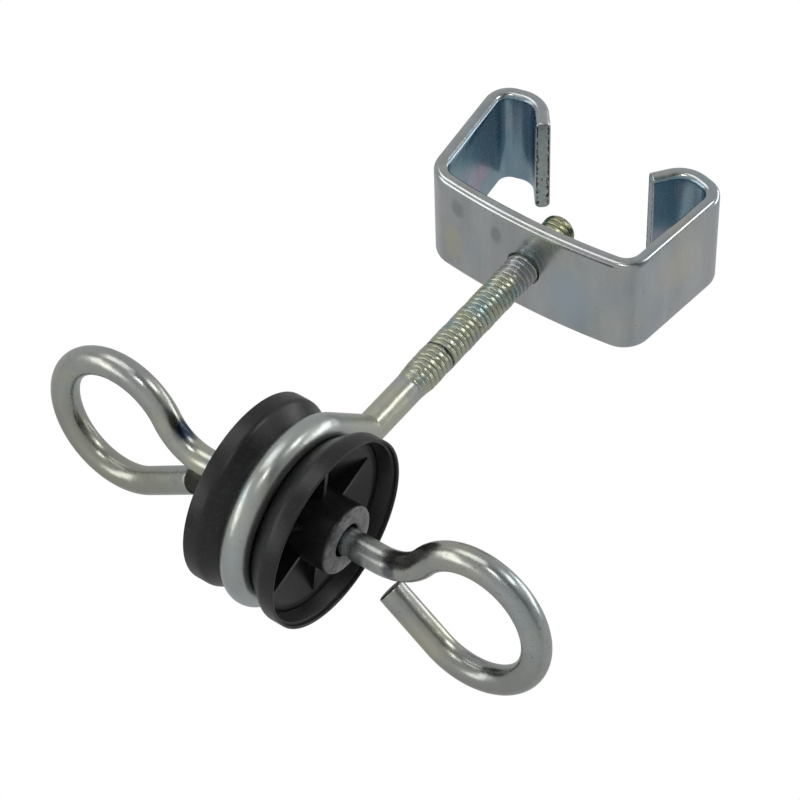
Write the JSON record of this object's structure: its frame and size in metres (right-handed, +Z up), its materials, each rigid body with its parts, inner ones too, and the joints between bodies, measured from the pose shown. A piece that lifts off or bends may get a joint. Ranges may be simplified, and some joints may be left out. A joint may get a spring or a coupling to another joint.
{
  "type": "ceiling mounted pulley rack",
  "caption": "C-shaped clamp bracket with an eye bolt through its web, whose ring carries a grooved pulley wheel on a rod bent into an eye at each end.",
  "frame": {"origin": "on the eye bolt's axis, at the middle of the web's upper face, where the clamped track rests", "axes": "+Z up along the eye bolt, from the wheel to the bracket; +X along the axle rod; +Y across the bracket's strip"},
  "size_m": [0.1306, 0.0448, 0.1441],
  "materials": {
    "bracket_zinc": "satin",
    "bolt_zinc": "satin",
    "axle_zinc": "satin",
    "wheel_plastic": "satin"
  },
  "bodies": {
    "bracket": {"clamp_bracket": "bracket_zinc"},
    "bolt": {"eye_bolt": "bolt_zinc"},
    "wheel": {"pulley_wheel": "wheel_plastic"},
    "axle": {"axle_rod": "axle_zinc"}
  },
  "joints": [
    {"name": "bolt_turn", "type": "hinge", "parent": "bracket", "child": "bolt", "pos_m": [0, 0, 0], "axis": [0, 0, 1], "range_deg": [-180, 180]},
    {"name": "wheel_spin", "type": "hinge", "parent": "bolt", "child": "wheel", "pos_m": [0, 0, -0.0883], "axis": [1, 0, 0], "continuous": true},
    {"name": "axle_spin", "type": "hinge", "parent": "wheel", "child": "axle", "pos_m": [0, 0, -0.0883], "axis": [1, 0, 0], "continuous": true}
  ]
}
